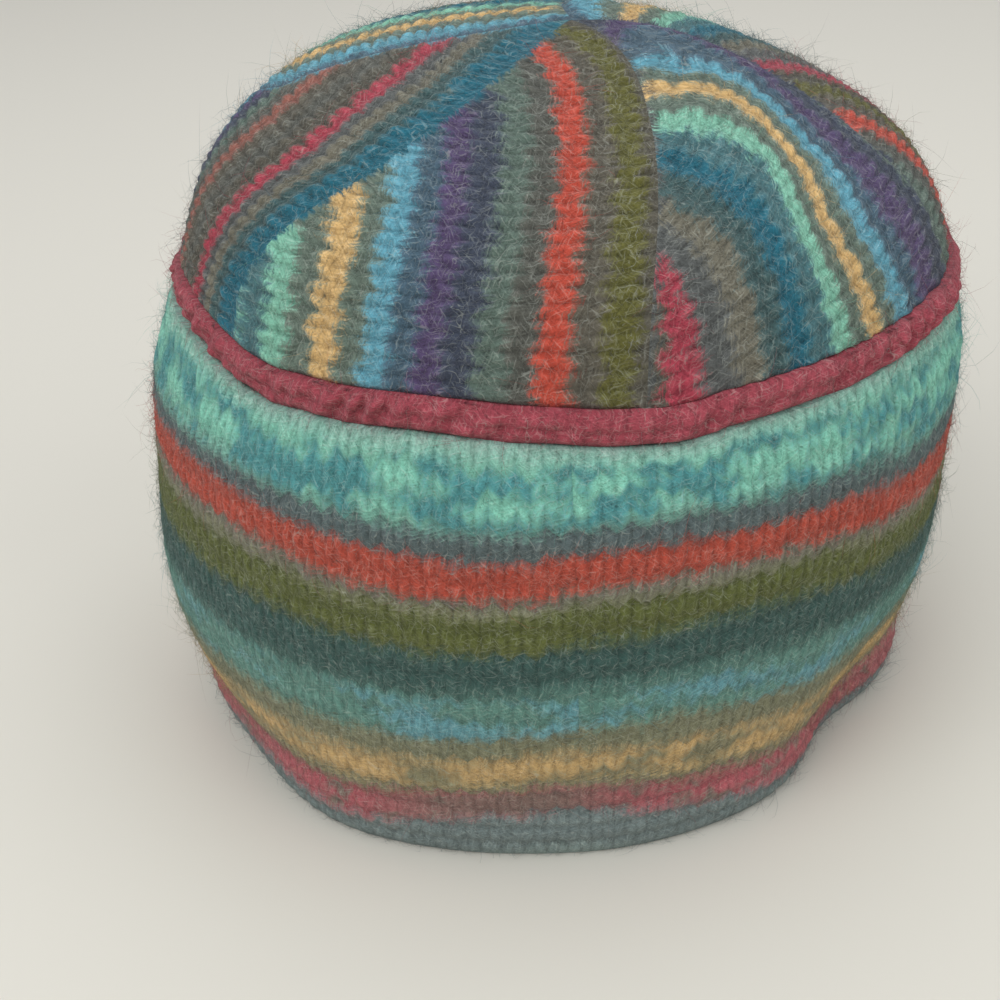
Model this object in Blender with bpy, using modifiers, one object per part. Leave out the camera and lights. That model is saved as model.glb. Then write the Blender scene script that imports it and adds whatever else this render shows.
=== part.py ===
# Knitted wool hat: a patterned side band on a rolled rim, a raised welt above it, and a
# crown of five swirled wedges. Metres, +Z up, resting on its rim with the front towards -Y.

import math

import bpy
import bmesh
import numpy as np

# Overall size
HAT_WIDTH = 0.219
HAT_HEIGHT = 0.188
WALL = 0.0042
GAP = 0.0003

# Heights where one piece ends and the next begins
RIM_HEIGHT = 0.0165
WELT_BOTTOM = 0.1234
WELT_HEIGHT = 0.0082

# The welt and the rolled rim stand proud of the wall
WELT_PROUD = 0.0024
RIM_PROUD = 0.0012
RIM_EXTRA_WALL = 0.0018
RIM_TUCK = 0.0024

# The crown
WEDGES = 5
EYE_RADIUS = 0.0013
SEAM_STEPS = 9
SEAM_OVERRUN = 1.8

# Fineness of the soft surfaces, and of the readings along the outline
OUTLINE_READINGS = 1200
RING_POINTS = 32
CAGE_ROWS = 13
SMOOTH_LEVELS = 1
ROLL_STEPS = 4
ROLL_SQUARENESS = 0.55

HALF_WIDTH = HAT_WIDTH / 2

# The upright outline of the outer face, one row per level from below the rim to the eye of
# the crown: height as a share of HAT_HEIGHT, radius, sideways lean and forward lean as
# shares of HALF_WIDTH
OUTLINE_COLUMNS = ("height", "radius", "lean", "forward")
OUTLINE = (
    (0.020, 0.865, 0.000, 0.000),
    (0.075, 0.900, -0.006, 0.000),
    (0.160, 0.940, -0.012, 0.000),
    (0.270, 0.972, 0.000, 0.000),
    (0.390, 0.992, 0.020, 0.000),
    (0.490, 0.990, 0.036, 0.000),
    (0.575, 0.998, 0.046, 0.000),
    (0.640, 0.965, 0.066, 0.000),
    (0.685, 0.920, 0.078, 0.000),
    (0.760, 0.898, 0.074, 0.000),
    (0.830, 0.828, 0.058, 0.000),
    (0.885, 0.708, 0.032, 0.000),
    (0.930, 0.575, 0.012, 0.000),
    (0.970, 0.410, 0.014, 0.006),
    (0.993, 0.220, 0.064, 0.022),
    (1.000, 0.000, 0.110, 0.036),
)

# Soft hollows and swellings of the wall: direction in degrees from the front towards +X,
# height share, spread in degrees, spread as a height share, and depth as a share of
# HALF_WIDTH, where a swelling is negative
FOLD_COLUMNS = ("azimuth", "height", "wide", "tall", "depth")
FOLDS = (
    (55.0, 0.030, 12.0, 0.130, 0.105),
    (100.0, 0.165, 36.0, 0.200, -0.095),
    (-92.0, 0.200, 34.0, 0.170, -0.034),
    (-62.0, 0.050, 14.0, 0.090, 0.034),
    (-36.0, 0.030, 14.0, 0.100, -0.034),
    (-150.0, 0.930, 44.0, 0.070, -0.110),
    (-150.0, 0.120, 30.0, 0.120, 0.022),
    (165.0, 0.240, 30.0, 0.160, 0.018),
    (-4.0, 0.030, 7.0, 0.050, 0.020),
)

# The seams between the wedges: direction in degrees at the welt, and how far the seam has
# swirled on at three quarters, half, a quarter and none of the crown's radius
SEAM_COLUMNS = ("azimuth", "outer", "middle", "inner", "eye")
SEAMS = (
    (-58.0, 16.0, 25.0, 29.0, 30.0),
    (3.7, 6.0, 12.0, 20.0, 30.0),
    (66.0, 1.0, 8.0, 18.0, 28.0),
    (150.0, 14.0, 24.0, 32.0, 37.0),
    (238.0, 30.0, 36.0, 40.0, 42.0),
)

# Finishes: name, colour, roughness
WEDGE_COLOURS = (
    ("wedge_teal_knit", (0.055, 0.145, 0.190), 0.95),
    ("wedge_moss_knit", (0.115, 0.150, 0.115), 0.95),
    ("wedge_mint_knit", (0.150, 0.330, 0.290), 0.95),
    ("wedge_olive_knit", (0.130, 0.140, 0.070), 0.95),
    ("wedge_slate_knit", (0.110, 0.140, 0.160), 0.95),
)
BAND_COLOUR = ("band_sea_knit", (0.110, 0.210, 0.185), 0.95)
WELT_COLOUR = ("welt_crimson_knit", (0.300, 0.075, 0.090), 0.95)
RIM_COLOUR = ("rim_slate_knit", (0.125, 0.150, 0.150), 0.95)


def start_empty():
    for obj in list(bpy.data.objects):
        bpy.data.objects.remove(obj, do_unlink=True)
    for old in list(bpy.data.collections):
        bpy.data.collections.remove(old)


def new_collection(name, shown):
    made = bpy.data.collections.new(name)
    bpy.context.scene.collection.children.link(made)
    made.hide_render = not shown
    return made


def smooth_through(knots, values, wanted):
    # A smooth curve through all the values, with even slopes at each knot
    knots = np.asarray(knots, float)
    values = np.asarray(values, float)
    wanted = np.clip(wanted, knots[0], knots[-1])
    slopes = np.gradient(values, knots)
    place = np.clip(np.searchsorted(knots, wanted, side="right") - 1, 0, len(knots) - 2)
    span = knots[place + 1] - knots[place]
    share = (wanted - knots[place]) / span
    rise = (2 * share**3 - 3 * share**2 + 1) * values[place]
    rise += (3 * share**2 - 2 * share**3) * values[place + 1]
    rise += (share**3 - 2 * share**2 + share) * span * slopes[place]
    rise += (share**3 - share**2) * span * slopes[place + 1]
    return rise


def outline_at(levels):
    # Height, radius and centre of the rings at these levels, counted in rows of OUTLINE
    rows = dict(zip(OUTLINE_COLUMNS, np.array(OUTLINE).T))
    knots = np.arange(len(OUTLINE))
    read = {name: smooth_through(knots, rows[name], levels) for name in OUTLINE_COLUMNS}
    radius = np.maximum(read["radius"] * HALF_WIDTH, EYE_RADIUS)
    return read["height"] * HAT_HEIGHT, radius, read["lean"] * HALF_WIDTH, -read["forward"] * HALF_WIDTH


def even_levels(count):
    return np.linspace(0, len(OUTLINE) - 1, count)


def level_of_height(height):
    # The level whose ring lies at this height
    levels = even_levels(OUTLINE_READINGS)
    return float(np.interp(height, outline_at(levels)[0], levels))


def turned_away(azimuth, other):
    return (azimuth - other + 180) % 360 - 180


def fold_depth(azimuth, height):
    depth = 0.0
    for row in FOLDS:
        fold = dict(zip(FOLD_COLUMNS, row))
        across = turned_away(azimuth, fold["azimuth"]) / fold["wide"]
        along = (height / HAT_HEIGHT - fold["height"]) / fold["tall"]
        depth += fold["depth"] * HALF_WIDTH * math.exp(-across * across - along * along)
    return depth


def ring_at(level, points):
    # The points of one ring of the outer face, the first at the front
    height, radius, lean, forward = (float(value) for value in outline_at(level))
    ring = []
    for k in range(points):
        azimuth = 360 * k / points
        reach = radius - fold_depth(azimuth, height) * min(1.0, radius / HALF_WIDTH)
        turn = math.radians(azimuth)
        ring.append((lean + reach * math.sin(turn), forward - reach * math.cos(turn), height))
    return ring


def centre_shift():
    # How far the widest part of the hat lies off the middle of its rim
    rings = [ring_at(level, 4 * RING_POINTS) for level in even_levels(4 * CAGE_ROWS)]
    points = np.array([point for ring in rings for point in ring])
    return -(points[:, 0].max() + points[:, 0].min()) / 2, -(points[:, 1].max() + points[:, 1].min()) / 2


def finish(name, colour, roughness):
    made = bpy.data.materials.new(name)
    made.use_nodes = True
    shader = made.node_tree.nodes["Principled BSDF"]
    shader.inputs["Base Color"].default_value = (*colour, 1.0)
    shader.inputs["Roughness"].default_value = roughness
    shader.inputs["Metallic"].default_value = 0.0
    made.diffuse_color = (*colour, 1.0)
    return made


def body_cage(shift):
    # One open cage from under the rim to the eye of the crown, its rows evenly spaced along
    # the outline, drawn out a little so that the smoothed form meets the outline
    levels = even_levels(OUTLINE_READINGS)
    height, radius, lean, forward = outline_at(levels)
    run = np.concatenate([[0], np.cumsum(np.hypot(np.diff(height), np.diff(radius)))])
    chosen = np.interp(np.linspace(0, run[-1], CAGE_ROWS), run, levels)
    grid = np.array([ring_at(level, RING_POINTS) for level in chosen])
    around = (np.roll(grid, 1, 1) + np.roll(grid, -1, 1)) / 2 - grid
    along = np.zeros_like(grid)
    along[1:-1] = (grid[:-2] + grid[2:]) / 2 - grid[1:-1]
    grid -= (around + along) / 4
    work = bmesh.new()
    rings = []
    for ring in grid:
        rings.append([work.verts.new((x + shift[0], y + shift[1], z)) for x, y, z in ring])
    for below, above in zip(rings, rings[1:]):
        for k in range(RING_POINTS):
            after = (k + 1) % RING_POINTS
            face = work.faces.new((below[k], below[after], above[after], above[k]))
            face.smooth = True
    mesh = bpy.data.meshes.new("wall_cage")
    work.to_mesh(mesh)
    work.free()
    return mesh


def shell_piece(name, cage, cutter, finish_of_piece):
    # The part of the hat's wall that lies inside the cutter
    mesh = cage.copy()
    mesh.name = name
    mesh.materials.append(finish(*finish_of_piece))
    obj = bpy.data.objects.new(name, mesh)
    hat.objects.link(obj)
    smooth = obj.modifiers.new("soft_form", "SUBSURF")
    smooth.levels = SMOOTH_LEVELS
    smooth.render_levels = SMOOTH_LEVELS
    wall = obj.modifiers.new("wall", "SOLIDIFY")
    wall.thickness = WALL
    wall.offset = -1.0
    wall.use_even_offset = True
    cut = obj.modifiers.new("part_of_wall", "BOOLEAN")
    cut.operation = "INTERSECT"
    cut.solver = "EXACT"
    cut.object = cutter
    return obj


def cutter_from(name, work):
    # A helper body that the wall is cut with
    bmesh.ops.recalc_face_normals(work, faces=work.faces)
    mesh = bpy.data.meshes.new(name)
    work.to_mesh(mesh)
    work.free()
    obj = bpy.data.objects.new(name, mesh)
    obj.hide_render = True
    obj.display_type = "WIRE"
    cutters.objects.link(obj)
    return obj


def plan_cutter(name, plan, bottom, top):
    # A plan outline raised into an upright prism
    work = bmesh.new()
    face = work.faces.new([work.verts.new((x, y, bottom)) for x, y in plan])
    raised = bmesh.ops.extrude_face_region(work, geom=[face])["geom"]
    raised = [part for part in raised if isinstance(part, bmesh.types.BMVert)]
    bmesh.ops.translate(work, verts=raised, vec=(0, 0, top - bottom))
    return cutter_from(name, work)


def slab_cutter(name, bottom, top):
    # A flat slab twice as wide as the hat
    work = bmesh.new()
    bmesh.ops.create_cube(work, size=2 * HAT_WIDTH)
    bmesh.ops.scale(work, verts=work.verts, vec=(1, 1, (top - bottom) / (2 * HAT_WIDTH)))
    bmesh.ops.translate(work, verts=work.verts, vec=(0, 0, (top + bottom) / 2))
    return cutter_from(name, work)


def seam_line(seam, shift):
    # Plan points of one seam from the eye of the crown to beyond the welt
    seam = dict(zip(SEAM_COLUMNS, seam))
    swirl = (seam["eye"], seam["inner"], seam["middle"], seam["outer"], 0.0)
    shares = np.linspace(0, 1, SEAM_STEPS + 1)
    swirls = np.interp(shares, np.linspace(0, 1, len(swirl)), swirl)
    turns = np.radians(seam["azimuth"] + np.append(swirls, 0.0))
    crown_radius = float(outline_at(level_of_height(WELT_BOTTOM + WELT_HEIGHT))[1])
    reaches = np.append(shares * crown_radius, SEAM_OVERRUN * HALF_WIDTH)
    eye = np.array([float(value) for value in outline_at(len(OUTLINE) - 1)[2:]]) + shift
    return eye + reaches[:, None] * np.stack([np.sin(turns), -np.cos(turns)], 1)


def moved_aside(line, distance):
    # The same line set off to its left by a distance
    ahead = np.gradient(line, axis=0)
    ahead /= np.hypot(*ahead.T)[:, None]
    return line + distance * np.stack([-ahead[:, 1], ahead[:, 0]], 1)


def crossing(first, second):
    # Where the opening stretches of two lines meet
    a, b = first[0], first[1] - first[0]
    c, d = second[0], second[1] - second[0]
    along = np.linalg.solve(np.array([b, -d]).T, c - a)[0]
    return a + along * b


def wedge_plan(first, second):
    # Plan outline of one wedge between two seams, half a gap inside each
    left = moved_aside(first, GAP / 2)
    right = moved_aside(second, -GAP / 2)
    tip = crossing(left, right)
    beyond = left[-1] + right[-1] - tip
    return [tip, *left[1:], beyond, *right[:0:-1]]


def swept_ring(name, level, section, shift, finish_of_piece):
    # A closed section carried round the hat at one level; the section holds (outward, up)
    # from the outer face there
    profile = bpy.data.curves.new(name + "_section", "CURVE")
    profile.dimensions = "2D"
    spline = profile.splines.new("POLY")
    spline.points.add(len(section) - 1)
    for point, (outward, up) in zip(spline.points, section):
        point.co = (outward, up, 0, 1)
    spline.use_cyclic_u = True
    section_obj = bpy.data.objects.new(name + "_section", profile)
    section_obj.hide_render = True
    section_obj.display_type = "WIRE"
    cutters.objects.link(section_obj)
    path = bpy.data.curves.new(name, "CURVE")
    path.dimensions = "3D"
    path.twist_mode = "Z_UP"
    spline = path.splines.new("POLY")
    ring = ring_at(level, 2 * RING_POINTS)
    spline.points.add(len(ring) - 1)
    for point, (x, y, z) in zip(spline.points, ring):
        point.co = (x + shift[0], y + shift[1], z, 1)
    spline.use_cyclic_u = True
    path.bevel_mode = "OBJECT"
    path.bevel_object = section_obj
    path.materials.append(finish(*finish_of_piece))
    obj = bpy.data.objects.new(name, path)
    hat.objects.link(obj)
    return obj


def welt_section(height):
    # Flat above, below and inside, and rounded outside
    half = height / 2
    points = [(-WALL, -half), (-WALL, half)]
    for step in range(2 * ROLL_STEPS + 1):
        turn = math.pi * (0.5 - step / (2 * ROLL_STEPS))
        points.append((WELT_PROUD * math.cos(turn), half * math.sin(turn)))
    return points


def rim_section(height):
    # A soft roll with a flat top and a flat foot, tucked in towards the foot
    thick = WALL + RIM_EXTRA_WALL
    count = 3 * ROLL_STEPS
    turns = [-2 * math.pi * (step + 0.5) / count for step in range(count)]
    tallest = max(math.sin(turn) for turn in turns)
    points = []
    for turn in turns:
        across = math.copysign(abs(math.cos(turn)) ** ROLL_SQUARENESS, math.cos(turn))
        along = math.copysign(abs(math.sin(turn) / tallest) ** ROLL_SQUARENESS, math.sin(turn))
        tucked = RIM_TUCK * (1 - along) / 2
        outward = RIM_PROUD - thick / 2 * (1 - across) - tucked
        points.append((outward, height / 2 * (along - 1)))
    return points


start_empty()
hat = new_collection("wool_hat", True)
cutters = new_collection("cutters", False)
shift = centre_shift()
cage = body_cage(shift)

# The side band
band_cutter = slab_cutter("band_cutter", RIM_HEIGHT + GAP, WELT_BOTTOM)
shell_piece("side_band", cage, band_cutter, BAND_COLOUR)

# The five wedges of the crown
crown_bottom = WELT_BOTTOM + WELT_HEIGHT + GAP
seam_lines = [seam_line(seam, np.array(shift)) for seam in SEAMS]
for k in range(WEDGES):
    plan = wedge_plan(seam_lines[k], seam_lines[(k + 1) % WEDGES])
    cutter = plan_cutter("wedge_cutter_%d" % (k + 1), plan, crown_bottom, HAT_HEIGHT + WALL)
    shell_piece("crown_wedge_%d" % (k + 1), cage, cutter, WEDGE_COLOURS[k])

# The welt
welt_middle = WELT_BOTTOM + (GAP + WELT_HEIGHT) / 2
welt_level = level_of_height(welt_middle)
swept_ring("welt", welt_level, welt_section(WELT_HEIGHT - GAP), shift, WELT_COLOUR)

# The rolled rim
rim_level = level_of_height(RIM_HEIGHT)
swept_ring("rolled_rim", rim_level, rim_section(RIM_HEIGHT), shift, RIM_COLOUR)
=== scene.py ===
import math

import bpy
import numpy as np
from mathutils import Matrix, Vector
from mathutils.bvhtree import BVHTree


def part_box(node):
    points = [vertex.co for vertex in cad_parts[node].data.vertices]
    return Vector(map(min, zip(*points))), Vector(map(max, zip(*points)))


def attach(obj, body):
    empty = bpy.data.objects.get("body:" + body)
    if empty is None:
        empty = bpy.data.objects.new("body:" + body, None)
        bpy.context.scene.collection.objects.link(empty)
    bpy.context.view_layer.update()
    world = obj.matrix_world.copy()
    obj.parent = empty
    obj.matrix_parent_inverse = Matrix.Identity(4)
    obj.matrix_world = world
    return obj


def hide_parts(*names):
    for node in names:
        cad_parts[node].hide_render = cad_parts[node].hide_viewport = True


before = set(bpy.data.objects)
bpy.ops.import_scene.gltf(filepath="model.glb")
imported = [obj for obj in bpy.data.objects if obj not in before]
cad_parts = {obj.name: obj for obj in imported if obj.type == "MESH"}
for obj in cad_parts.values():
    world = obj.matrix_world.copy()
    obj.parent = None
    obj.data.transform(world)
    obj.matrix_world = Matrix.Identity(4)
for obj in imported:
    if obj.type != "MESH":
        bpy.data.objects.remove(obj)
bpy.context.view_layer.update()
putInScene = bpy.context.scene.collection.objects.link

# The hat is knitted in rounds up to the welt, then in five wedges whose rows climb from the welt
# to the eye of the crown, and it is felted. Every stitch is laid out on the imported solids.

hat = {
    "roundStitches": 108,
    "columnsPerStitch": 8,
    "roundRows": 16,
    "linesPerRow": 6,
    "wall": 0.0042,
    "slant": 0.42,             # how far a stitch's legs climb, in rows
    "uneven": 0.22,            # how much single stitches stand higher or lower
    "readColumns": 256,
    "evenedBy": 0.0040,
    "farOut": 0.30,
    "leastReach": 0.05,        # a ray that gets nearer the middle slipped between two solids
}

chance = np.random.default_rng(11)


def treeOf(*names):
    points, faces = [], []
    for name in names:
        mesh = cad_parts[name].data
        base = len(points)
        points += [v.co.copy() for v in mesh.vertices]
        faces += [[base + i for i in p.vertices] for p in mesh.polygons]
    return BVHTree.FromPolygons(points, faces)


def reachOut(tree, middle, aims):
    # how far out from the middle the outer face lies along each aim, nan where a ray misses
    starts = middle + aims * hat["farOut"]
    gone = [tree.ray_cast(Vector(s), Vector(-a))[3] for s, a in zip(starts, aims)]
    reaches = hat["farOut"] - np.array([np.nan if g is None else g for g in gone])
    return np.where(reaches < hat["leastReach"], np.nan, reaches)


def fillGaps(grid):
    # a ray that slipped between two solids takes its value from the rows beside it
    rows = np.arange(len(grid))
    for column in range(grid.shape[1]):
        good = ~np.isnan(grid[:, column])
        grid[:, column] = np.interp(rows, rows[good], grid[good, column])
    return grid


def evenOut(grid, across, along):
    # soft blur: round the hat, then from row to row, both in cells
    waves = np.fft.rfftfreq(grid.shape[1])
    kernel = np.exp(-2 * (np.pi * waves * across) ** 2)
    grid = np.fft.irfft(np.fft.rfft(grid, axis=1) * kernel, grid.shape[1], axis=1)
    reach = int(3 * along) + 1
    weights = np.exp(-0.5 * (np.arange(-reach, reach + 1) / along) ** 2)
    wide = np.pad(grid, ((reach, reach), (0, 0)), "reflect", reflect_type="odd")
    return sum(w * wide[i:i + len(grid)] for i, w in enumerate(weights / weights.sum()))


def moreColumns(grid, columns):
    waves = np.fft.rfft(grid, axis=1)
    return np.fft.irfft(waves, columns, axis=1) * columns / grid.shape[1]


def aimOutward(turns):
    # 0 is the front of the hat, a quarter turn is its right hand side
    return np.stack([np.sin(turns), -np.cos(turns), np.zeros_like(turns)], -1)


def readRounds(tree, heights, columns):
    # outer radius at each height, all the way round
    out = aimOutward(np.arange(hat["readColumns"]) / hat["readColumns"] * math.tau)
    radii = [reachOut(tree, np.array([0, 0, height]), out) for height in heights]
    radii = fillGaps(np.array(radii))
    cell = math.tau * np.nanmean(radii) / hat["readColumns"]
    step = (heights[-1] - heights[0]) / (len(heights) - 1)
    radii = evenOut(radii, hat["evenedBy"] / cell, hat["evenedBy"] / step)
    return moreColumns(radii, columns)


def gridNormals(points):
    # outward normals of a closed grid whose rows climb and whose columns go round towards +X
    normals = np.cross(np.roll(points, -1, 1) - np.roll(points, 1, 1), np.gradient(points, axis=0))
    return normals / np.maximum(np.linalg.norm(normals, axis=-1, keepdims=True), 1e-12)


sway = {
    # how far the welt and what is beside it hang above or below their mean height, in mm
    "degrees": (-115, -90, -75, -66, -57, -50, -43, -38, -29, -20, -11, -6, 1, 6, 11, 15, 20, 32, 47,
                58, 66, 75, 90, 115),
    "lift": (0, 2.4, 4.6, 4.0, 0.8, -2.0, -2.9, -2.1, -1.6, -0.8, -1.1, -2.0, -3.0, -4.0, -4.8,
             -4.4, -2.7, -1.6, -0.8, -0.6, -2.1, -3.9, -2.6, 0),
    "middle": 0.1275,
    "spread": 0.011,
}


def swayed(points):
    degrees = np.degrees(np.arctan2(points[..., 0], -points[..., 1]))
    lift = np.interp(degrees, sway["degrees"], sway["lift"]) / 1000
    near = np.exp(-((points[..., 2] - sway["middle"]) / sway["spread"]) ** 2)
    moved = points.copy()
    moved[..., 2] += lift * near
    return moved


class Cloth:
    # a knitted piece being made: points, corners with their maps, and faces
    layers = ("knit", "shade", "edge", "strip")

    def __init__(self, strips=1):
        self.points, self.facing, self.cornerPoint, self.faces = [], [], [], []
        self.faceLook, self.faceSmooth = [], []
        self.maps = {name: [] for name in self.layers}
        self.pointCount = self.cornerCount = 0
        self.strips = strips

    def lay(self, points, maps, closed=False, facing=None):
        # adds rows of points; a closed grid repeats its first column as its last, one stitch
        # count further on in its maps, and both columns share their points
        rows, columns = points.shape[:2]
        own = columns - 1 if closed else columns
        self.points.append(points[:, :own].reshape(-1, 3))
        facing = points * 0 if facing is None else facing     # a normal of 0 is worked out later
        self.facing.append(facing[:, :own].reshape(-1, 3))
        at = np.arange(rows)[:, None] * own + np.arange(columns) % own + self.pointCount
        self.cornerPoint.append(at.ravel())
        for name in self.layers:
            self.maps[name].append(np.asarray(maps[name]).reshape(-1, 2))
        corners = np.arange(rows * columns).reshape(rows, columns) + self.cornerCount
        self.pointCount += rows * own
        self.cornerCount += rows * columns
        return corners

    def again(self, corners, strip):
        # the same points once more, at another place of the bake map
        self.cornerPoint.append(np.concatenate(self.cornerPoint)[corners])
        for name in self.layers:
            values = np.concatenate(self.maps[name])[corners]
            self.maps[name].append(np.asarray(strip) if name == "strip" else values)
        self.cornerCount += len(corners)
        return np.arange(len(corners)) + self.cornerCount - len(corners)

    def weave(self, faces, look=0, smooth=True):
        self.faces += faces
        self.faceLook += [look] * len(faces)
        self.faceSmooth += [smooth] * len(faces)

    def quads(self, corners, outward=True):
        a, b = corners[:-1, :-1].ravel(), corners[:-1, 1:].ravel()
        c, d = corners[1:, 1:].ravel(), corners[1:, :-1].ravel()
        faces = np.stack([a, b, c, d] if outward else [d, c, b, a], 1)
        self.weave(faces.tolist())
        return faces

    def zipUp(self, first, firstAt, second, secondAt, outward=True, smooth=True):
        # triangles between two lines of corners, each with its place along the way
        i = j = 0
        faces = []
        while i < len(first) - 1 or j < len(second) - 1:
            onFirst = j == len(second) - 1
            if not onFirst and i < len(first) - 1:
                onFirst = firstAt[i + 1] <= secondAt[j + 1]
            if onFirst:
                faces.append((first[i], first[i + 1], second[j]))
                i += 1
            else:
                faces.append((first[i], second[j + 1], second[j]))
                j += 1
        if not outward:
            faces = [face[::-1] for face in faces]
        self.weave([[int(c) for c in face] for face in faces], 0, smooth)

    def finished(self, name, node, looks, hairy):
        for kind in ("nap", "strays"):
            addFibres(self, hairy, kind)
        points = np.concatenate(self.points)
        at = np.concatenate(self.cornerPoint).tolist()
        flat = np.array([corner for face in self.faces for corner in face])
        sizes = np.array([len(face) for face in self.faces])
        mesh = bpy.data.meshes.new(name)
        mesh.from_pydata(points.tolist(), [], [[at[c] for c in face] for face in self.faces])
        values = {layer: np.concatenate(self.maps[layer])[flat] for layer in self.layers}
        # each face keeps to one strip of the bake map, so that a long band folds into a square
        around, height = values.pop("strip").T
        starts = np.append(0, sizes.cumsum()[:-1])
        strip = np.floor(np.minimum.reduceat(around, starts) + 1e-4)
        strip = strip.clip(0, self.strips - 1).repeat(sizes)
        spot = np.stack([around - strip, (strip + height) / self.strips], 1)
        values["OFBake"] = 0.003 + 0.994 * spot
        for layer, value in values.items():
            mesh.uv_layers.new(name=layer).data.foreach_set("uv", value.ravel())
        mesh.polygons.foreach_set("material_index", self.faceLook)
        mesh.polygons.foreach_set("use_smooth", self.faceSmooth)
        for look in looks:
            mesh.materials.append(look)
        mesh.update()
        mesh.normals_split_custom_set_from_vertices(np.concatenate(self.facing).tolist())
        piece = bpy.data.objects.new(name, mesh)
        putInScene(piece)
        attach(piece, "root")
        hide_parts(node)
        print(name, "made:", int((sizes - 2).sum()), "triangles")


fibres = {
    "thickness": 0.000036,
    "leastHeight": 0.0004,     # none reaches into the floor
    "rootDepth": 0.0002,
    # fibres on a square centimetre, shortest and longest, rings of points, rise and bend
    "nap": (29.5, 0.0020, 0.0050, 2, 0.45, 0.55),
    "strays": (6.4, 0.0050, 0.0125, 3, 0.32, 0.60),
}


def addFibres(cloth, faces, kind):
    # three-sided fibres thinning to a tip, rooted in the given faces
    perSquareCm, shortest, longest, ringCount, rise, bend = fibres[kind]
    points = np.concatenate(cloth.points)
    at = np.concatenate(cloth.cornerPoint)
    faces = np.asarray(faces)
    corners = points[at[faces]]
    normals = np.cross(corners[:, 1] - corners[:, 0], corners[:, 2] - corners[:, 0])
    areas = np.linalg.norm(normals, axis=1)
    count = int(areas.sum() * 1e4 * perSquareCm)
    chosen = chance.choice(len(faces), count, p=areas / areas.sum())
    weights = chance.dirichlet(np.ones(faces.shape[1]), count)
    roots = np.einsum("nk,nkd->nd", weights, corners[chosen])
    up = normals[chosen] / areas[chosen, None]
    lengths = chance.uniform(shortest, longest, (count, 1))
    aim = chance.normal(size=(count, 3))
    aim -= (aim * up).sum(1, keepdims=True) * up
    aim /= np.linalg.norm(aim, axis=1, keepdims=True)
    aside = np.cross(up, aim)
    lift = rise * np.abs(chance.normal(size=(count, 1)))
    curl = bend * chance.normal(size=(count, 1))
    line = []
    for step in np.linspace(0, 1, ringCount + 1):
        ahead = aim * (step - 0.25 * lift * step ** 2) + aside * curl * step ** 2
        line.append(roots + (ahead + up * lift * step * (1.4 - 0.75 * step)) * lengths)
    line[0] = line[0] - up * fibres["rootDepth"]
    rings = []
    for step, centre in enumerate(line[:-1]):
        thick = fibres["thickness"] * (1 - 0.2 * step)
        for turn in (0.0, math.tau / 3, 2 * math.tau / 3):
            rings.append(centre + thick * (math.cos(turn) * up + math.sin(turn) * aside))
    strands = np.stack([*rings, line[-1]], 1)
    strands[..., 2] = np.maximum(strands[..., 2], fibres["leastHeight"])
    size = strands.shape[1]
    maps = {}
    for name in cloth.layers:
        values = np.concatenate(cloth.maps[name])[faces[chosen]]
        maps[name] = np.repeat(np.einsum("nk,nkd->nd", weights, values)[:, None], size, 1)
    # on the bake map a fibre covers a spot of a few pixels at its root
    number = np.arange(size)
    across, along = number % 3 - 1, number // 3 + 0.5 * (number % 3 == 1)
    maps["strip"] = maps["strip"] + 0.0008 * np.stack([across, along * cloth.strips], -1)
    laid = cloth.lay(strands, maps)
    sides = [(r + a, r + a + 3, r + b + 3, r + b) for r in range(0, 3 * ringCount - 3, 3)
             for a, b in ((0, 1), (1, 2), (2, 0))]
    last = 3 * ringCount - 3
    ends = [(last, last + 3, last + 1), (last + 1, last + 3, last + 2), (last + 2, last + 3, last),
            (0, 1, 2)]
    for pattern in (sides, ends):
        cloth.weave(laid[:, np.array(pattern)].reshape(-1, len(pattern[0])).tolist(), 1)


def stitchHeight(u, v):
    # stocking stitch: stacked v's, low in the grooves and high on the legs
    fold = np.abs(u % 1 - 0.5) * 2
    legs = np.sin(np.pi * fold).clip(0) ** 0.6
    climb = v - hat["slant"] * (fold - 0.5)
    # the same scattered number for every point of a stitch
    own = np.sin(np.floor(u) * 12.99 + np.floor(climb) * 78.23) * 437.5 % 1 - 0.5
    plump = 1 + 2 * hat["uneven"] * own
    return plump * (0.15 + 0.85 * legs) * (0.62 - 0.38 * np.cos(math.tau * climb))


def purlHeight(u, v):
    # back of the stitch: low beads, each row half a bead on from the last
    bead = np.cos(math.tau * (u + 0.5 * np.floor(v)))
    return np.abs(np.sin(np.pi * v)) ** 0.8 * (0.7 + 0.3 * bead)


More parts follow.
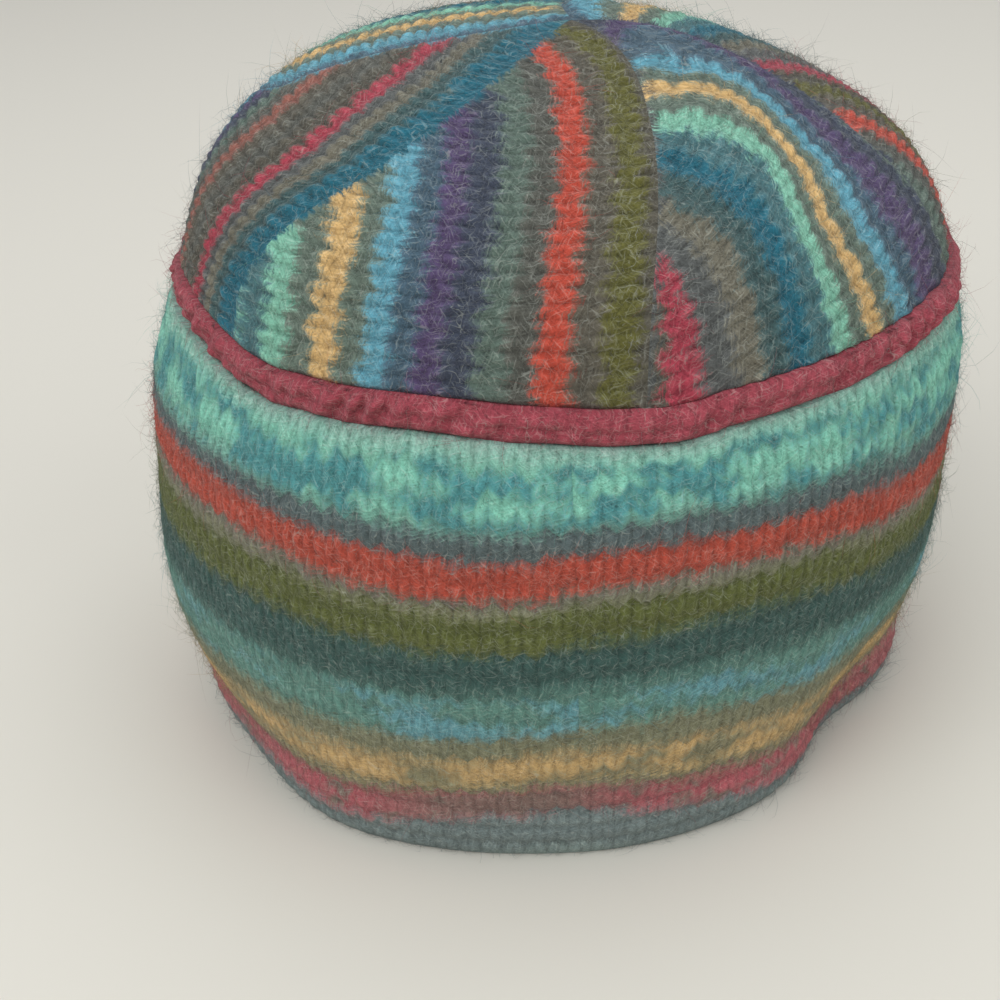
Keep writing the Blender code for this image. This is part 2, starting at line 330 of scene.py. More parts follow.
class Wire:
    # one socket of a shader, with the sums that are used on it
    def __init__(self, socket):
        self.socket = socket

    def node(self, kind, settings=None, inputs=None, out=0):
        # any other node, in this wire's shader: its settings first, then its sockets
        tree = self.socket.id_data
        made = tree.nodes.new(kind)
        for name, value in (settings or {}).items():
            if name == "stops":
                ramp = made.color_ramp
                while len(ramp.elements) < len(value):
                    ramp.elements.new(1.0)
                for element, (place, colour) in zip(ramp.elements, value):
                    element.position = place
                    element.color = colour
            elif name == "steps":
                made.color_ramp.interpolation = "CONSTANT"
            else:
                setattr(made, name, value)
        for name, value in (inputs or {}).items():
            slots = [s for s in made.inputs if s.enabled and name in (s.name, s.identifier)]
            slot = made.inputs[name] if isinstance(name, int) else slots[0]
            if isinstance(value, Wire):
                tree.links.new(value.socket, slot)
            else:
                slot.default_value = value
        if isinstance(out, str):
            return Wire(next(s for s in made.outputs if s.enabled and s.name == out))
        return Wire([s for s in made.outputs if s.enabled][out])

    def math(self, operation, *others):
        values = dict(enumerate((self, *others)))
        return self.node("ShaderNodeMath", {"operation": operation}, values)

    def __add__(self, other):
        return self.math("ADD", other)

    def __sub__(self, other):
        return self.math("SUBTRACT", other)

    def __mul__(self, other):
        return self.math("MULTIPLY", other)

    def __truediv__(self, other):
        return self.math("DIVIDE", other)

    __radd__, __rmul__ = __add__, __mul__

    def __rsub__(self, other):
        return (self * -1.0).math("ADD", other)

    def __abs__(self):
        return self.math("ABSOLUTE")

    def frac(self):
        return self.math("FRACT")

    def floor(self):
        return self.math("FLOOR")

    def step(self, low, high):
        # 0 below low, 1 above high, eased between
        return self.node("ShaderNodeMapRange", {"interpolation_type": "SMOOTHSTEP"},
                         {"Value": self, "From Min": low, "From Max": high})

    def mix(self, first, second):
        return self.node("ShaderNodeMix", {"data_type": "RGBA"},
                         {"Factor": self, "A": first, "B": second})

    def place(self, *others):
        values = dict(zip("XYZ", (self, *others)))
        return self.node("ShaderNodeCombineXYZ", None, values)

    def axis(self, name):
        return self.node("ShaderNodeSeparateXYZ", None, {"Vector": self}, name)

    def noise(self, scale, detail=2.0, rough=0.5, distortion=0.0):
        return self.node("ShaderNodeTexNoise", None, {
            "Vector": self, "Scale": scale, "Detail": detail, "Roughness": rough,
            "Distortion": distortion})

    def hairs(self, scale, width):
        # thin curled lines, 1 on a hair and 0 between
        line = abs(self.noise(scale, 1.0, 0.5, 1.4) - 0.5)
        return 1.0 - line.step(0.0, width)


def yarn(red, green, blue):
    # a dyed colour as it is read off a screen, 0 to 255
    shares = [c / 255 for c in (red, green, blue)]
    return tuple(s / 12.92 if s <= 0.04045 else ((s + 0.055) / 1.055) ** 2.4 for s in shares) + (1,)


screenColours = {
    "crimson": (160, 60, 74), "taupe": (110, 106, 92), "tealBlue": (34, 96, 112),
    "mint": (124, 180, 156), "gold": (202, 166, 110), "lightBlue": (94, 152, 168),
    "purple": (82, 68, 100), "greyGreen": (90, 106, 96), "orange": (180, 72, 56),
    "olive": (94, 92, 46), "rust": (142, 88, 76),
    # the marled yarn between two stripes
    "greyMarl": (88, 90, 88), "tealMarl": (64, 88, 88), "seaMarl": (72, 110, 114),
    "sageMarl": (98, 112, 100), "blueMarl": (70, 92, 106), "plumMarl": (64, 70, 84),
    "brownMarl": (86, 86, 79), "rustMarl": (92, 87, 76), "earthMarl": (84, 80, 70),
    # the welt and the rounds below it; the dyes named low and rim are painted lighter, to make up
    # for the shade that falls on the lowest rounds
    "weltCrimson": (152, 66, 76), "mintHaze": (140, 168, 156),
    "bandMint": (124, 186, 164), "bandTeal": (66, 128, 132), "slate": (84, 96, 96),
    "bandOrange": (168, 72, 56), "bandOlive": (88, 94, 48), "darkTeal": (56, 84, 78),
    "lowTeal": (92, 132, 120), "skyFleck": (96, 146, 154), "lowTaupe": (120, 120, 94),
    "lowGold": (190, 158, 106), "lowCrimson": (170, 88, 94), "lowMarl": (112, 108, 96),
    "rimSlate": (112, 124, 122), "rimPale": (132, 148, 142),
    "hair": (198, 202, 190),
}
wool = {name: yarn(*colour) for name, colour in screenColours.items()}


def woolShader(name):
    material = bpy.data.materials.new(name)
    material.use_nodes = True
    nodes = material.node_tree.nodes
    nodes.clear()
    output = nodes.new("ShaderNodeOutputMaterial")
    skin = nodes.new("ShaderNodeBsdfPrincipled")
    material.node_tree.links.new(skin.outputs[0], output.inputs["Surface"])
    skin.inputs["Specular IOR Level"].default_value = 0.15
    return material, skin, Wire(skin.inputs[0])


felt = {
    "skin": {"Roughness": 0.95, "Sheen Weight": 0.08, "Sheen Roughness": 0.6},
    "bump": 0.6,
    "bumpDepth": 0.0009,
    # pale hairs that lie on the cloth: how many to a metre, how thick, how pale
    "nets": ((110.0, 0.0050, 0.26), (190.0, 0.0080, 0.20)),
    "ways": (15, 75, 135),     # degrees in which the felted fibres lie
    "fibreLong": 1.5,
    "fibreThin": 13.0,
    "pale": 0.22,
    "bleed": 6.5,              # how far single fibres carry a colour, in mm
    "fibreShadeTone": 0.88,      # painted shade: fibres that stand up catch more light, so their colour is made darker
    # shares of locks, grain, felted fibres and plies in how light the wool is
    "tone": (0.5, 0.5, 0.75, 0.3),
    # shares of stitches, fine nap, felted fibres, plies, grain and hairs in the bump
    "rise": (0.45, 0.25, 0.6, 0.25, 0.4, 0.8),
}


def blend(wires, shares):
    total = wires[0] * shares[0]
    for wire, share in zip(wires[1:], shares[1:]):
        total = total + wire * share
    return total


def woolLook(name, recipe, isFibre=False):
    # the colour runs with the rows, and each row keeps to its own v's
    material, skin, start = woolShader(name)
    links = material.node_tree.links
    knit, shade, edges = (start.node("ShaderNodeUVMap", {"uv_map": layer})
                          for layer in ("knit", "shade", "edge"))
    here = start.node("ShaderNodeTexCoord", None, None, "Object")
    u, v = knit.axis("X"), knit.axis("Y")
    fold = abs(u.frac() - 0.5) * 2.0
    climb = v - (fold - 0.5) * hat["slant"]
    inRow = climb.frac()
    lock = here.noise(230.0, 3.0, 0.6, 0.5) - 0.5
    grain = here.noise(900.0, 3.0, 0.65) - 0.5
    streak = (u * 0.35).place(climb.floor() * 3.7, 0.0).noise(1.0, 3.0, 0.6) - 0.5
    # fibres felted over each other in three ways
    strands = []
    for way in felt["ways"]:
        along, aside = math.cos(math.radians(way)), math.sin(math.radians(way))
        length = (u * along + v * aside) * felt["fibreLong"]
        across = (v * along - u * aside + lock * 0.35) * felt["fibreThin"]
        strands.append(length.place(across, float(way)).noise(1.0, 1.0, 0.5) - 0.5)
    mat = strands[0] + strands[1] + strands[2]
    top = strands[0].math("MAXIMUM", strands[1]).math("MAXIMUM", strands[2])
    pale = top.step(0.08, 0.30) * felt["pale"]
    if not isFibre:
        for scale, width, strength in felt["nets"]:
            pale = pale.math("MAXIMUM", here.hairs(scale, width) * strength)
    level = shade.axis("X") - (fold - 0.5) * (recipe["colourSlant"] * recipe["rowMm"])
    level = level - (inRow - 0.5) * (recipe["rowMm"] * 0.2) + streak * recipe["streakMm"]
    level = level + lock * 5.0 + grain * 2.0

    def dyedAt(level):
        if "stripe" not in recipe:
            low, high = recipe["span"]
            at = (level - low) / (high - low)
            stops = [((place - low) / (high - low), wool[dye]) for place, dye in recipe["stops"]]
            return at.node("ShaderNodeValToRGB", {"stops": stops}, {"Fac": at}, "Color")
        # one dye to a stripe, and a marl of its own up to the next
        count = level / recipe["stripe"] - recipe["first"]
        nearest = (count + 0.5).floor()
        away = abs(count - nearest)
        half, soft = recipe["half"], recipe["soft"]
        held = []
        for at, dyes in ((count.floor() + 1.0, recipe["marls"]), (nearest, recipe["dyes"])):
            share = (at + 1.5) / (len(dyes) + 1.0)
            stops = [((n + 1) / (len(dyes) + 1), wool[dye]) for n, dye in enumerate(dyes)]
            held.append(share.node("ShaderNodeValToRGB", {"stops": stops, "steps": True},
                                   {"Fac": share}, "Color"))
        return (1.0 - away.step(half - soft, half + soft)).mix(*held)

    # two yarns' fibres lie through each other, each carrying its colour its own way
    colour = strands[2].step(-0.22, 0.22).mix(dyedAt(level + strands[0] * felt["bleed"]),
                                              dyedAt(level - strands[1] * felt["bleed"]))
    # patches of another dye, some stitches wide
    for number, (low, high, often, rare, dye) in enumerate(recipe.get("flecks", ())):
        among = level.step(low - 2.0, low + 2.0) * (1.0 - level.step(high - 2.0, high + 2.0))
        patch = (u * often).place(climb * 0.6, 5.0 * number).noise(1.0, 2.0, 0.55)
        patch = (patch + mat * 0.10 + grain * 0.1).step(rare - 0.09, rare + 0.09)
        if dye == "lowMarl":       # it also takes over where the crimson is lost
            patch = patch.math("MAXIMUM", shade.axis("Y"))
        colour = (among * patch * 0.9).mix(colour, wool[dye])
    if "edge" in recipe:
        teeth = edges.axis("X") + lock * 5.0 + strands[0] * 8.0 - fold * 1.5
        beyond = (1.0 - teeth.step(-1.5, 1.5)) * (1.0 - shade.axis("Y").step(0.90, 0.96))
        colour = beyond.mix(colour, wool[recipe["edge"]])
    # fibres lie along the legs of the v's
    ply = ((fold - v * 0.9) * 6.0).place(v * 1.3, u.floor() * 3.1).noise(1.0, 2.0, 0.6) - 0.5
    legs = 1.0 - (abs(fold - 0.5) * 2.0).math("POWER", 2.2)
    ridge = 1.0 - (abs(inRow - 0.5) * 2.0).math("POWER", 2.2)
    height = (legs * 0.85 + 0.15) * (ridge * 0.7 + 0.3)
    # painted shade: the wool is made darker in the grooves between legs and rows, as much as the
    # recipe's relief says
    tone = blend((lock, grain, mat, ply), felt["tone"]) + height * recipe["relief"]
    tone = tone + recipe["tone"]
    if isFibre:
        # painted shade on the standing fibres, against the light they catch
        tone = tone * felt["fibreShadeTone"]
    colour = colour.node("ShaderNodeVectorMath", {"operation": "MULTIPLY"},
                         {0: colour, 1: tone.place(tone, tone)})
    colour = pale.mix(colour, wool["hair"])
    links.new(colour.socket, skin.inputs["Base Color"])
    for socket, value in felt["skin"].items():
        skin.inputs[socket].default_value = value
    if not isFibre:
        nap = here.noise(1500.0, 3.0, 0.7)
        rise = blend((height, nap, mat, ply, grain, pale), felt["rise"])
        bump = rise.node("ShaderNodeBump", None, {
            "Strength": felt["bump"], "Distance": felt["bumpDepth"], "Height": rise})
        links.new(bump.socket, skin.inputs["Normal"])
    return material


def bothLooks(name, recipe):
    return [woolLook(name + "_wool", recipe), woolLook(name + "_fibre", recipe, True)]


rounds = {
    "relief": 0.0008,
    # the low stitches are felted most and stand up less, and not at all at the band's foot
    "reliefHeights": (0.02, 0.055, 0.085),
    "reliefShares": (0.0, 0.45, 0.45, 1.0),
    # how high the colour changes lie round the hat, in mm, by degrees from the front
    "degrees": (-180, -120, -66, -50, -35, -20, -8, -4, -2, 8, 20, 32, 45, 60, 120, 180),
    "crimson": (20, 16, 13, 15.2, 13.3, 18.6, 22.0, 22.7, 23.8, 20.0, 16.3, 13.3, 11, 11, 15, 20),
    "gold": (34, 30, 27, 27.5, 27.6, 29.9, 34.2, 34.7, 35.4, 34.0, 32.8, 28.6, 27, 26, 30, 34),
    "olive": (72, 72, 73, 72.5, 71.8, 70.3, 71.6, 72.4, 73.8, 74.6, 76.0, 74.0, 69, 66, 70, 72),
    "orange": (92, 95, 97.2, 96.9, 93.7, 91.1, 90.9, 91.6, 93.0, 94.3, 94.2, 93.2, 88, 84, 88, 92),
    # how far the crimson by the hem is lost in the marl
    "faded": (0.1, 0.1, 0.2, 0.1, 0.0, 0.75, 0.85, 0.85, 0.8, 0.1, 0, 0, 0.1, 0.2, 0.3, 0.1),
    "asAtFront": {"crimson": 22.7, "gold": 34.7, "olive": 72.5, "orange": 91.8},
    "top": 123.4,
    "recipe": {
        # relief is the strength of the painted shade in the grooves between stitches
        "rowMm": 6.64, "colourSlant": 0.20, "streakMm": 4.0, "relief": 0.34, "tone": 0.84,
        "span": (-2.0, 126.0),
        # the low and rim dyes carry painted light against the shade on the lowest rounds
        "stops": (
            (0.0, "rimPale"), (6.0, "rimSlate"), (15.5, "rimSlate"), (19.0, "lowCrimson"),
            (24.5, "lowCrimson"), (28.0, "lowTaupe"), (31.5, "lowGold"), (36.5, "lowGold"),
            (40.5, "lowTaupe"), (45.0, "lowTaupe"), (48.5, "lowTeal"), (56.0, "lowTeal"),
            (62.0, "darkTeal"), (69.5, "darkTeal"), (73.5, "bandOlive"), (80.0, "bandOlive"),
            (82.5, "lowTaupe"), (85.0, "lowMarl"), (87.6, "bandOrange"), (94.2, "bandOrange"),
            (97.4, "slate"), (101.0, "slate"), (108.0, "bandMint"), (118.0, "bandMint"),
            (124.0, "mintHaze"),
        ),
        # from, to, waves to a stitch, how rare, dye
        "flecks": (
            (104.0, 119.5, 0.42, 0.505, "bandTeal"), (46.0, 57.0, 0.20, 0.56, "skyFleck"),
            (30.0, 37.5, 0.30, 0.55, "lowTaupe"), (17.0, 25.5, 0.42, 0.60, "lowMarl"),
        ),
    },
}


def asAtFront(degrees, heights):
    # the height in mm that has the same colour at the front of the hat
    names = rounds["asAtFront"]
    here = np.array([np.interp(degrees, rounds["degrees"], rounds[name]) for name in names])
    there = list(names.values())
    top = np.full(len(degrees), rounds["top"])
    here = np.concatenate([here[:1] - 40, here, [top]])
    there = [there[0] - 40, *there, rounds["top"]]
    return np.stack([np.interp(heights, column, there) for column in here.T], 1)


def ringMaps(u, v, heights, strips, foot, top):
    # maps of a closed grid; foot and top are its share of a strip of the bake map
    degrees = (u / hat["roundStitches"] * 360 + 180) % 360 - 180
    across, up = np.broadcast_arrays(u[None, :], v[:, None])
    faded = np.broadcast_to(np.interp(degrees, rounds["degrees"], rounds["faded"]), across.shape)
    share = foot + (top - foot) * (up - v[0]) / (v[-1] - v[0])
    return {
        "knit": np.stack([across, up], -1),
        "shade": np.stack([asAtFront(degrees, heights * 1000), faded], -1),
        "edge": np.full(across.shape + (2,), 50.0),
        "strip": np.stack([across / hat["roundStitches"] * strips, share], -1),
    }


# where the faces of a band's solid lie on a strip of its bake map
ringStrip = {"outside": (0.03, 0.80), "inside": (0.97, 0.84), "foot": 0.005}


def closeRing(points):
    return np.concatenate([points, points[:, :1]], 1)


def shellOfRounds(name, node, outer, inner, v, heights, looks, strips, facing=None):
    # outer face with all its stitches, coarse inner face, and the two edges between them
    cloth = Cloth(strips)
    facing = gridNormals(outer) if facing is None else facing
    maps = ringMaps(roundU, v, heights, strips, *ringStrip["outside"])
    out = cloth.lay(closeRing(outer), maps, True, closeRing(facing))
    skip = hat["columnsPerStitch"]
    few = np.linspace(0, len(heights) - 1, 5).round().astype(int)
    maps = ringMaps(roundU[::skip], v[few], heights[few], strips, *ringStrip["inside"])
    back = cloth.lay(closeRing(inner)[few][:, ::skip], maps, closed=True)
    faces = cloth.quads(out)
    cloth.quads(back, outward=False)
    cloth.zipUp(out[-1], roundU, back[-1], roundU[::skip], smooth=False)
    beside = roundU[::skip] / hat["roundStitches"] * strips
    foot = cloth.again(back[0], np.stack([beside, beside * 0 + ringStrip["foot"]], 1))
    cloth.zipUp(out[0], roundU, foot, roundU[::skip], outward=False, smooth=False)
    cloth.finished(name, node, looks, faces)


def standUp(radii, heights):
    # points of rounds, from their radii and heights
    return radii[..., None] * roundOut[None] + np.multiply.outer(heights, (0, 0, 1))[:, None]


columns = hat["roundStitches"] * hat["columnsPerStitch"]
roundU = np.arange(columns + 1) / hat["columnsPerStitch"]
roundOut = aimOutward(roundU[:-1] / hat["roundStitches"] * math.tau)

bandLow, bandHigh = (corner.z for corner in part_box("side_band"))
lines = hat["roundRows"] * hat["linesPerRow"] + 1
bandHeights = np.linspace(bandLow, bandHigh, lines)
bandRows = np.linspace(0, hat["roundRows"], lines)
bandRadii = readRounds(treeOf("side_band"), bandHeights.clip(bandLow + 0.0002, bandHigh - 0.0002),
                       columns)
bandBase = standUp(bandRadii, bandHeights)
bandRelief = (stitchHeight(roundU[None, :-1], bandRows[:, None]) - 0.5) * rounds["relief"]
reliefHeights = (bandLow, *rounds["reliefHeights"])
bandRelief *= np.interp(bandHeights, reliefHeights, rounds["reliefShares"])[:, None]
bandOuter = swayed(bandBase + gridNormals(bandBase) * bandRelief[..., None])
bandFacing = gridNormals(bandOuter)
bandInner = swayed(standUp(bandRadii - hat["wall"], bandHeights))
print("side band read:", lines, "lines of", columns, "points")

bandLooks = bothLooks("felted_rounds", rounds["recipe"])
pieces = ("hem_rounds", "lower_rounds", "upper_rounds", "welt_rounds")
for number, name in enumerate(pieces):
    quarter = (lines - 1) // 4
    part = slice(number * quarter, (number + 1) * quarter + 1)
    shellOfRounds(name, "side_band", bandOuter[part], bandInner[part], bandRows[part],
                  bandHeights[part], bandLooks, 4, bandFacing[part])


welt = {
    "across": 13,
    "rows": 2.0,
    "tuckedIn": 0.0014,        # how far the edges lie inside the middle
    "thick": 0.0064,
    "lumpsPerStitch": 0.75,
    "lump": 0.0011,
    "lean": 0.35,              # how far a lump leans over from row to row, in lumps
    "drift": 0.4,
    "wander": 0.0005,
    "waves": (5, 9, 14, 23, 31),
    "recipe": {
        # relief is the strength of the painted shade in the grooves between stitches
        "rowMm": 4.0, "colourSlant": 0.0, "streakMm": 3.0, "relief": 0.32, "tone": 0.84,
        "span": (0.0, 100.0), "stops": ((0.0, "weltCrimson"), (100.0, "weltCrimson")),
    },
}

weltLow, weltHigh = (corner.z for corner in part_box("welt"))
weltHeights = np.linspace(weltLow, weltHigh, welt["across"])
weltRadius = readRounds(treeOf("welt"), np.linspace(weltLow, weltHigh, 5)[1:-1], columns).mean(0)
weltRows = np.linspace(0, welt["rows"], welt["across"])
bulge = np.sin(np.linspace(0, np.pi, welt["across"])).clip(0)[:, None] ** 0.6
turns = roundU[:-1] / hat["roundStitches"] * math.tau
starts = chance.uniform(0, math.tau, len(welt["waves"]))
drift = sum(np.cos(count * turns + start) for count, start in zip(welt["waves"], starts)) / 3
# the lumps lean over the cord and are now stronger, now weaker
lean = roundU[None, :-1] * welt["lumpsPerStitch"] + welt["drift"] * drift
lumps = np.cos(math.tau * (lean - welt["lean"] * weltRows[:, None]))
lumps = lumps * (0.7 + 0.6 * np.roll(drift, 90))
lumps = lumps + 0.9 * (purlHeight(roundU[None, :-1], weltRows[:, None]) - 0.5)
weltRadii = weltRadius - welt["tuckedIn"] * (1 - bulge)
weltRadii = weltRadii + (lumps * welt["lump"] + drift * welt["wander"]) * bulge
weltOuter = swayed(standUp(weltRadii, weltHeights))
weltOuter[..., 2] += drift * welt["wander"]
weltInner = standUp(np.broadcast_to(weltRadius - welt["thick"], weltRadii.shape), weltHeights)
shellOfRounds("rolled_welt", "welt", weltOuter, swayed(weltInner), weltRows, weltHeights,
              bothLooks("crimson_welt", welt["recipe"]), 9)


rim = {
    "across": 19,
    "rows": 3.0,
    "lump": 0.0009,
    "wall": 0.0052,
    "gap": 0.00008,            # between the rim's upper edge and the band
    "blended": 0.004,          # how far down it takes on the band's form
    "inset": 0.0003,
}

rimLow, rimHigh = (corner.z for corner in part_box("rolled_rim"))
rimHeights = np.linspace(rimLow, rimHigh, rim["across"])
readAt = rimHeights.clip(rimLow + rim["inset"], rimHigh - rim["inset"])
rimRadii = readRounds(treeOf("rolled_rim"), readAt, columns)
rimRows = np.linspace(0, rim["rows"], rim["across"])
nearTop = np.clip(1 - (rimHigh - rimHeights) / rim["blended"], 0, 1)[:, None]
rimRadii = rimRadii + (bandRadii[0] - rimRadii) * nearTop
rimRelief = (purlHeight(roundU[None, :-1], rimRows[:, None]) - 0.5) * rim["lump"] * (1 - nearTop)
rimHeights[-1] = bandLow - rim["gap"]
shellOfRounds("rolled_hem", "rolled_rim", standUp(rimRadii + rimRelief, rimHeights),
              standUp(rimRadii - rim["wall"], rimHeights), rimRows, rimHeights, bandLooks, 6)


crown = {
    "stitches": 18,            # stitches along a seam, from the welt to the eye
    "ringsPerStitch": 8,
    "stripe": 14.8,            # two rows of knitting, in mm
    "columnStep": 0.00088,
    "relief": 0.0011,
    "seamValley": 0.00012,
    "seamReach": 0.0014,
    "seamFlat": 0.002,         # the stitches stand up less, this near a seam
    "seamSmooth": 0.0009,      # this near, both wedges keep the crown's own normals
    "eye": (0.0096, -0.0039),
    "middle": 0.100,
    "reach": 0.0985,
    # where the seams start at the welt, in degrees, and how far they have swirled on at three
    # quarters, half, a quarter and none of the crown's reach
    "seams": (
        (-58.0, 16.0, 25.0, 29.0, 30.0),
        (3.7, 6.0, 12.0, 20.0, 30.0),
        (66.0, 1.0, 8.0, 18.0, 28.0),
        (150.0, 14.0, 24.0, 32.0, 37.0),
        (238.0, 30.0, 36.0, 40.0, 42.0),
    ),
    "readTurns": 360,
    "readSteps": 100,
    "evenedBy": (2.3, 3.0),    # blur of the readings, round the crown and up it, in cells
    "readAbove": 0.0010,
    "hook": 0.30,              # how far the stripes' tips bend over at the left seams, in stripes
    "hookReach": 0.006,
    # the recipe's relief is the strength of the painted shade in the grooves between stitches
    "recipe": {"colourSlant": 0.28, "streakMm": 3.5, "relief": 0.44, "tone": 0.76, "half": 0.235,
               "soft": 0.10},
    # the stripes in their order, each with the marl that follows it
    "stripes": (
        ("crimson", "greyMarl"), ("taupe", "tealMarl"), ("tealBlue", "seaMarl"),
        ("mint", "sageMarl"), ("gold", "sageMarl"), ("lightBlue", "blueMarl"),
        ("purple", "plumMarl"), ("greyGreen", "brownMarl"), ("orange", "rustMarl"),
        ("olive", "earthMarl"),
    ),
}

wedges = (
    # marks give a stripe's number by mm from the right seam; paths give the stripes that arch,
    # each as a number and points along it, in mm and degrees from the eye
    {"name": "front_wedge", "first": 3, "last": 9, "edge": "tealBlue", "squeeze": 0.22,
     "marks": ((-3, 9.6), (7, 9), (21, 8), (34.6, 7), (49, 6), (61.6, 5), (75.3, 4), (91, 3),
               (106, 2))},
    {"name": "right_wedge", "first": 0, "last": 7, "edge": "greyMarl",
     "paths": (
         (0, (98, 9.2), (89, 8.8)),
         (1, (79, 14), (82, 16.7), (89, 18.2), (98, 19.2)),
         (2, (62, 12.6), (67, 20.3), (73, 25.1), (84, 26.3), (98, 26.4)),
         (3, (52, 15), (53, 27.3), (58, 33.1), (63, 37), (70, 36.8), (78, 34.2), (89, 33.3),
          (98, 35.5)),
         (4, (42, 18), (42, 32.4), (45, 41.1), (50, 45.5), (57, 45.2), (68, 42.3), (79, 38.6),
          (88, 38.5), (98, 42.5)),
         (5, (31, 21.6), (36, 38.1), (40, 51.7), (52, 53.7), (64, 49.4), (75, 48.5), (85, 44.5),
          (98, 49.5)),
         (5.5, (18, 50), (30, 62)), (5.6, (24, 24), (45, 66)), (5.8, (69, 54.5)),
         (5.75, (79, 52.5), (88, 51.5), (98, 54.5)), (6.25, (79, 60), (88, 60)),
         (6.3, (69, 62), (98, 62)), (6.7, (98, 67)), (6.8, (60, 71)), (6.9, (80, 66.8)),
         # down the seams on both sides
         (6.2, (16, 27)), (4.5, (36, 20)), (3.5, (47, 16.4)), (2.5, (57, 13.8)), (1.5, (68, 11)),
         (1.1, (73, 9.9)), (0.8, (77, 8.9)), (0.3, (82, 7.6)), (-0.25, (86, 6.6)),
         (-0.6, (98, 3.7)), (6, (20, 86)), (6.1, (40, 78)),
     )},
    {"name": "back_right_wedge", "first": 7, "last": 15, "edge": "plumMarl", "squeeze": 0.14,
     "marks": ((-3, 15.6), (7, 15), (134, 7), (160, 5.5))},
    {"name": "back_left_wedge", "first": 6, "last": 15, "edge": "greyGreen", "squeeze": 0.14,
     "marks": ((-3, 15.6), (7, 15), (144, 6), (170, 4.5))},
    {"name": "left_wedge", "first": 3, "last": 12, "edge": "lightBlue", "squeeze": -0.40,
     "duller": {"orange": "rust", "olive": "brownMarl"},
     "marks": ((-3, 12.18), (6, 11.8), (12.5, 11), (19.5, 10), (31, 9), (42, 8), (53, 7), (64, 6),
               (75, 5), (87, 4), (99, 3))},
)

wedgeNodes = [f"crown_wedge_{n}" for n in range(1, 6)]
crownTree = treeOf(*wedgeNodes)
crownLow = min(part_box(node)[0].z for node in wedgeNodes)
crownMiddle = np.array([*crown["eye"], crown["middle"]])
readOut = aimOutward(np.arange(crown["readTurns"]) / crown["readTurns"] * math.tau)
foot = crownLow + crown["readAbove"]
footReach = reachOut(crownTree, crownMiddle * (1, 1, 0) + (0, 0, foot), readOut)
footReach = fillGaps(footReach[:, None])[:, 0]
footAngle = np.arctan2(foot - crown["middle"], footReach)
angles = footAngle + (np.pi / 2 - footAngle) * np.linspace(0, 1, crown["readSteps"])[:, None]
aims = np.cos(angles)[..., None] * readOut + np.sin(angles)[..., None] * (0, 0, 1)
reaches = fillGaps(np.array([reachOut(crownTree, crownMiddle, row) for row in aims]))
over = np.roll(reaches[-2::-1], crown["readTurns"] // 2, axis=1)     # down the far side
reaches = evenOut(np.concatenate([reaches, over]), *crown["evenedBy"])[:len(reaches)]
reaches[-1] = reaches[-1].mean()
profile = crownMiddle + aims * reaches[..., None]
rise = profile[1] - profile[0]
below = profile[0] - rise * ((foot - crownLow) / rise[:, 2:])
profile = np.concatenate([below[None], profile])
steps = np.linalg.norm(np.diff(profile, axis=0), axis=-1)
lengths = np.concatenate([np.zeros((1, crown["readTurns"])), steps.cumsum(0)])
rings = crown["stitches"] * crown["ringsPerStitch"] + 1
ringShares = np.linspace(0, 1, rings)
surface = np.empty((rings, crown["readTurns"], 3))
for column in range(crown["readTurns"]):
    along = lengths[:, column] / lengths[-1, column]
    for axis in range(3):
        surface[:, column, axis] = np.interp(ringShares, along, profile[:, column, axis])
normals = gridNormals(surface)
normals[-1] = (0, 0, 1)
print("crown read:", rings, "rings, eye at", surface[-1, 0].round(4).tolist())


def seamTurn(seam, reach):
    # direction of a seam where it is this far from the eye in plan
    share = np.clip(reach / crown["reach"], 0, 1)
    swirl = np.interp(share, np.linspace(0, 1, 5), (*seam[:0:-1], 0.0))
    return math.radians(seam[0] + swirl)


def ringLine(ring):
    # a ring's points and normals over three turns, with the way along it and its plan reach
    closed = np.arange(-crown["readTurns"], 3 * crown["readTurns"] + 1)
    points = surface[ring][closed % crown["readTurns"]]
    facing = normals[ring][closed % crown["readTurns"]]
    way = np.append(0, np.linalg.norm(np.diff(points, axis=0), axis=1).cumsum())
    reach = np.hypot(*(points[:, :2] - crownMiddle[:2]).T)
    return closed / crown["readTurns"] * math.tau, points, facing, way, reach


def seamWays(seam, extra):
    # for each ring, the way along it to the seam
    ways = []
    for turns, points, facing, way, reach in ringLines:
        turn = math.radians(seam[0] + extra)
        for attempt in range(12):
            turn = seamTurn(seam, np.interp(turn, turns, reach)) + math.radians(extra)
        ways.append(np.interp(turn, turns, way))
    return np.array(ways)


ringLines = [ringLine(ring) for ring in range(rings)]
seams = [seamWays(seam, 0.0) for seam in crown["seams"]] + [seamWays(crown["seams"][0], 360.0)]


def alongRing(number, ring, along):
    # points and normals of a ring, by the way back from the wedge's right seam
    turns, points, facing, way, reach = ringLines[ring]
    at = seams[number + 1][ring] - along
    place, face = (np.stack([np.interp(at, way, column) for column in line.T], -1)
                   for line in (points, facing))
    return place, face / np.linalg.norm(face, axis=-1, keepdims=True)


def plateThrough(paths):
    # a thin plate bent through the paths' points gives the stripe number anywhere in plan
    picked = [(reach, degrees, stripe) for stripe, *path in paths for reach, degrees in path]
    reach, degrees, stripe = np.array(picked).T
    held = crownMiddle[:2] + reach[:, None] / 1000 * aimOutward(np.radians(degrees))[:, :2]

    def pull(places):
        apart = np.linalg.norm(places[..., None, :] - held, axis=-1) * 10 + 1e-9
        return apart ** 2 * np.log(apart)

    flat = np.column_stack([np.ones(len(held)), held])
    system = np.block([[pull(held) + 0.002 * np.eye(len(held)), flat], [flat.T, np.zeros((3, 3))]])
    weights = np.linalg.solve(system, np.append(stripe, (0, 0, 0)))
    return lambda places: pull(places) @ weights[:-3] + weights[-3] + places @ weights[-2:]


